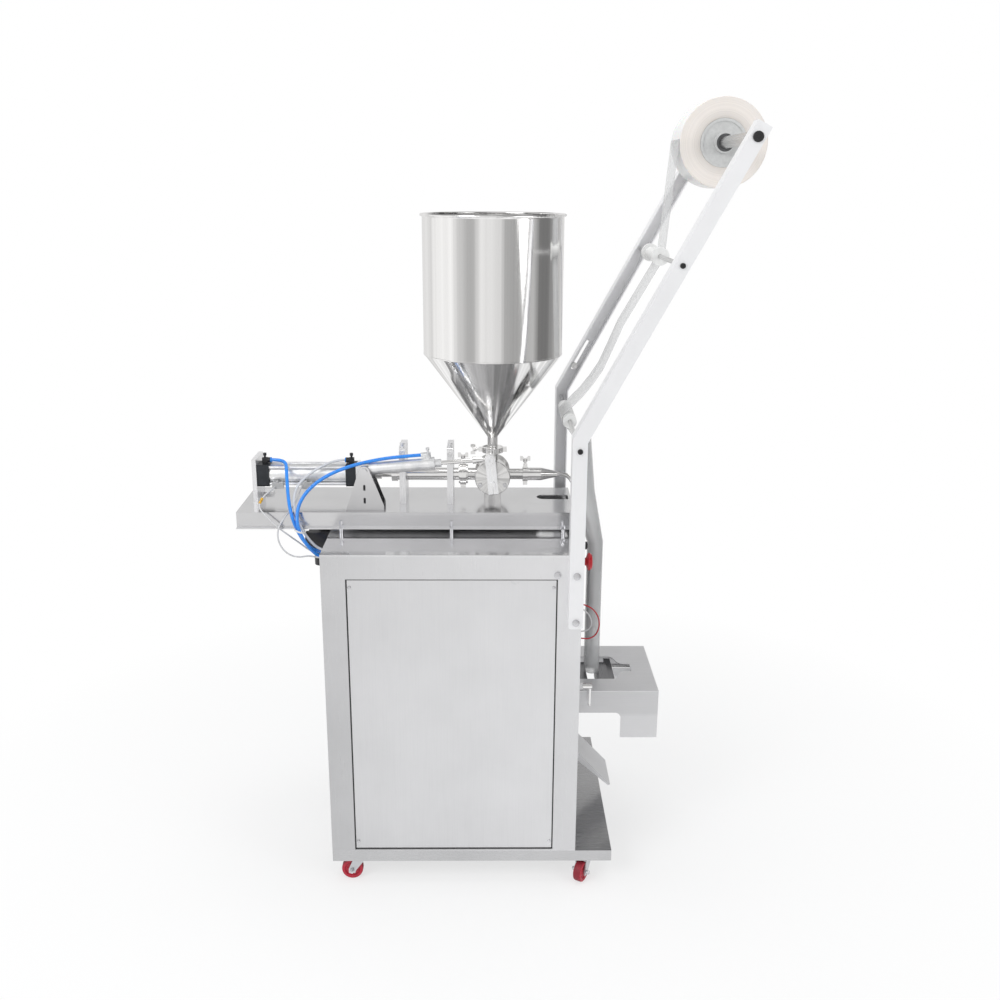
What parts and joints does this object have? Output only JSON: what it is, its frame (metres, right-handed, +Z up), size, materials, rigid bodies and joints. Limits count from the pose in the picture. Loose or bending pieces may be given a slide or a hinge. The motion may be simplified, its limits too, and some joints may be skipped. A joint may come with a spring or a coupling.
{
  "type": "sachet packing machine",
  "caption": "Vertical sachet packing machine: wheeled steel cabinet, piston filler with cone hopper, leaning film rails, bag former, sealing jaws, guard and chute.",
  "frame": {"origin": "on the floor, at the middle of the overall length and width", "axes": "+X towards the film and bag side, +Y across the cabinet to its far side, +Z up"},
  "size_m": [1.1752, 0.622, 1.7619],
  "materials": {
    "tray_steel": "polished",
    "cabinet_steel": "brushed",
    "rail_steel": "brushed",
    "polished_steel": "polished",
    "bolt_steel": "polished",
    "shaft_grey": "ground",
    "film": "translucent",
    "wound_film": "translucent",
    "disc_grey": "moulded",
    "roller_white": "moulded",
    "anodised_dark": "anodised",
    "aluminium": "extruded",
    "fitting_black": "moulded",
    "blue_tube": "smooth",
    "clear_tube": "smooth",
    "cable_white": "smooth",
    "wire_red": "smooth",
    "wheel_red": "moulded",
    "button_red": "smooth",
    "button_black": "smooth",
    "collar_white": "smooth",
    "fork_zinc": "zinc plated",
    "jaw_metal": "machined",
    "blade_steel": "ground"
  },
  "bodies": {
    "machine": {"base_tray": "tray_steel", "cabinet_frame": "cabinet_steel", "cabinet_top": "tray_steel", "front_panel": "cabinet_steel", "cover_panels": "cabinet_steel", "fasteners": "bolt_steel", "film_rail_near": "rail_steel", "film_rail_far": "rail_steel", "film_shafts": "shaft_grey", "film_web": "film", "bag_former": "polished_steel", "filling_pipe": "polished_steel", "filler_tray": "tray_steel", "cylinder_supports": "rail_steel", "air_cylinder_caps": "anodised_dark", "air_cylinder_barrel": "aluminium", "air_fittings": "fitting_black", "clevis_bracket": "tray_steel", "metering_cylinder": "polished_steel", "pipe_clamps": "polished_steel", "valve_body": "polished_steel", "valve_covers": "polished_steel", "hopper": "polished_steel", "nozzle": "polished_steel", "jaw_drive": "shaft_grey", "guard": "cabinet_steel", "chute": "cabinet_steel", "control_collars": "collar_white", "air_service_unit": "fitting_black", "blue_tube_rear": "blue_tube", "blue_tube_front": "blue_tube", "clear_tube": "clear_tube", "rear_switch_cable": "cable_white", "front_switch_cable": "cable_white", "red_heater_wire": "wire_red", "white_heater_wire": "cable_white"},
    "roll": {"film_roll": "wound_film", "roll_holder": "disc_grey"},
    "upper_roller": {"upper_guide_roller": "roller_white"},
    "lower_roller": {"lower_guide_roller": "roller_white"},
    "piston": {"piston_rod": "polished_steel"},
    "drive_cylinder": {"valve_cylinder": "aluminium"},
    "drive_rod": {"valve_rod": "polished_steel"},
    "crank": {"valve_spool": "polished_steel", "crank_plate": "rail_steel"},
    "sealer": {"vertical_sealer": "jaw_metal"},
    "jaw_rear": {"rear_jaw": "jaw_metal"},
    "jaw_front": {"front_jaw": "jaw_metal"},
    "knife": {"cutter": "blade_steel"},
    "lever": {"clamp_lever": "polished_steel"},
    "stop": {"emergency_stop": "button_red"},
    "start": {"start_button": "button_black"},
    "fork_near_rear": {"caster_fork_near_rear": "fork_zinc"},
    "wheel_near_rear": {"caster_wheel_near_rear": "wheel_red"},
    "fork_near_front": {"caster_fork_near_front": "fork_zinc"},
    "wheel_near_front": {"caster_wheel_near_front": "wheel_red"},
    "fork_far_rear": {"caster_fork_far_rear": "fork_zinc"},
    "wheel_far_rear": {"caster_wheel_far_rear": "wheel_red"},
    "fork_far_front": {"caster_fork_far_front": "fork_zinc"},
    "wheel_far_front": {"caster_wheel_far_front": "wheel_red"}
  },
  "joints": [
    {"name": "film_roll_spin", "type": "hinge", "parent": "machine", "child": "roll", "pos_m": [0.49207, 0, 1.66644], "axis": [0, 1, 0], "continuous": true},
    {"name": "upper_roller_spin", "type": "hinge", "parent": "machine", "child": "upper_roller", "pos_m": [0.3618, 0, 1.42653], "axis": [0, 1, 0], "continuous": true},
    {"name": "lower_roller_spin", "type": "hinge", "parent": "machine", "child": "lower_roller", "pos_m": [0.17094, 0, 1.053], "axis": [0, 1, 0], "continuous": true},
    {"name": "metering_stroke", "type": "slide", "parent": "machine", "child": "piston", "axis": [1, 0, 0], "range_m": [0, 0.08]},
    {"name": "valve_turn", "type": "hinge", "parent": "machine", "child": "crank", "pos_m": [-0.00756, 0, 0.9245], "axis": [0, -1, 0], "range_deg": [0, 45]},
    {"name": "drive_rod_stroke", "type": "slide", "parent": "drive_cylinder", "child": "drive_rod", "axis": [0.9964, 0, 0.0842], "range_m": [-0.041, 0]},
    {"name": "drive_cylinder_swing", "type": "hinge", "parent": "machine", "child": "drive_cylinder", "pos_m": [-0.29726, -0.08, 0.9565], "axis": [0, -1, 0], "range_deg": [-3.4, 0.5], "deforming": ["blue_tube_front"]},
    {"name": "upright_sealing", "type": "slide", "parent": "machine", "child": "sealer", "axis": [1, 0, 0], "range_m": [0, 0.008]},
    {"name": "rear_jaw_close", "type": "slide", "parent": "machine", "child": "jaw_rear", "axis": [1, 0, 0], "range_m": [0, 0.012]},
    {"name": "front_jaw_close", "type": "slide", "parent": "machine", "child": "jaw_front", "axis": [1, 0, 0], "range_m": [-0.012, 0]},
    {"name": "bag_cut", "type": "slide", "parent": "machine", "child": "knife", "axis": [1, 0, 0], "range_m": [0, 0.01]},
    {"name": "clamp_lever_turn", "type": "hinge", "parent": "machine", "child": "lever", "pos_m": [0.18644, -0.15, 0.45], "axis": [1, 0, 0], "range_deg": [-90, 15]},
    {"name": "emergency_stop_press", "type": "slide", "parent": "machine", "child": "stop", "axis": [-1, 0, 0], "range_m": [0, 0.003], "stiffness_N_per_m": 800, "springref_m": -0.001},
    {"name": "start_press", "type": "slide", "parent": "machine", "child": "start", "axis": [-1, 0, 0], "range_m": [0, 0.003], "stiffness_N_per_m": 400, "springref_m": -0.001},
    {"name": "swivel_near_rear", "type": "hinge", "parent": "machine", "child": "fork_near_rear", "pos_m": [-0.31856, -0.241, 0.06], "axis": [0, 0, 1], "continuous": true},
    {"name": "wheel_spin_near_rear", "type": "hinge", "parent": "fork_near_rear", "child": "wheel_near_rear", "pos_m": [-0.33656, -0.241, 0.025], "axis": [0, -1, 0], "continuous": true},
    {"name": "swivel_near_front", "type": "hinge", "parent": "machine", "child": "fork_near_front", "pos_m": [0.21144, -0.241, 0.06], "axis": [0, 0, 1], "continuous": true},
    {"name": "wheel_spin_near_front", "type": "hinge", "parent": "fork_near_front", "child": "wheel_near_front", "pos_m": [0.20244, -0.25659, 0.025], "axis": [0.866, -0.5, 0], "continuous": true},
    {"name": "swivel_far_rear", "type": "hinge", "parent": "machine", "child": "fork_far_rear", "pos_m": [-0.31856, 0.241, 0.06], "axis": [0, 0, 1], "continuous": true},
    {"name": "wheel_spin_far_rear", "type": "hinge", "parent": "fork_far_rear", "child": "wheel_far_rear", "pos_m": [-0.33595, 0.24566, 0.025], "axis": [-0.2588, -0.9659, 0], "continuous": true},
    {"name": "swivel_far_front", "type": "hinge", "parent": "machine", "child": "fork_far_front", "pos_m": [0.21144, 0.241, 0.06], "axis": [0, 0, 1], "continuous": true},
    {"name": "wheel_spin_far_front", "type": "hinge", "parent": "fork_far_front", "child": "wheel_far_front", "pos_m": [0.22835, 0.24716, 0.025], "axis": [-0.342, 0.9397, 0], "continuous": true}
  ],
  "couplings": [
    {"joint": "drive_rod_stroke", "follows": "valve_turn", "m_per_rad": -0.05116},
    {"joint": "drive_cylinder_swing", "follows": "valve_turn", "ratio": -0.07239},
    {"joint": "front_jaw_close", "follows": "rear_jaw_close", "ratio": -1}
  ]
}
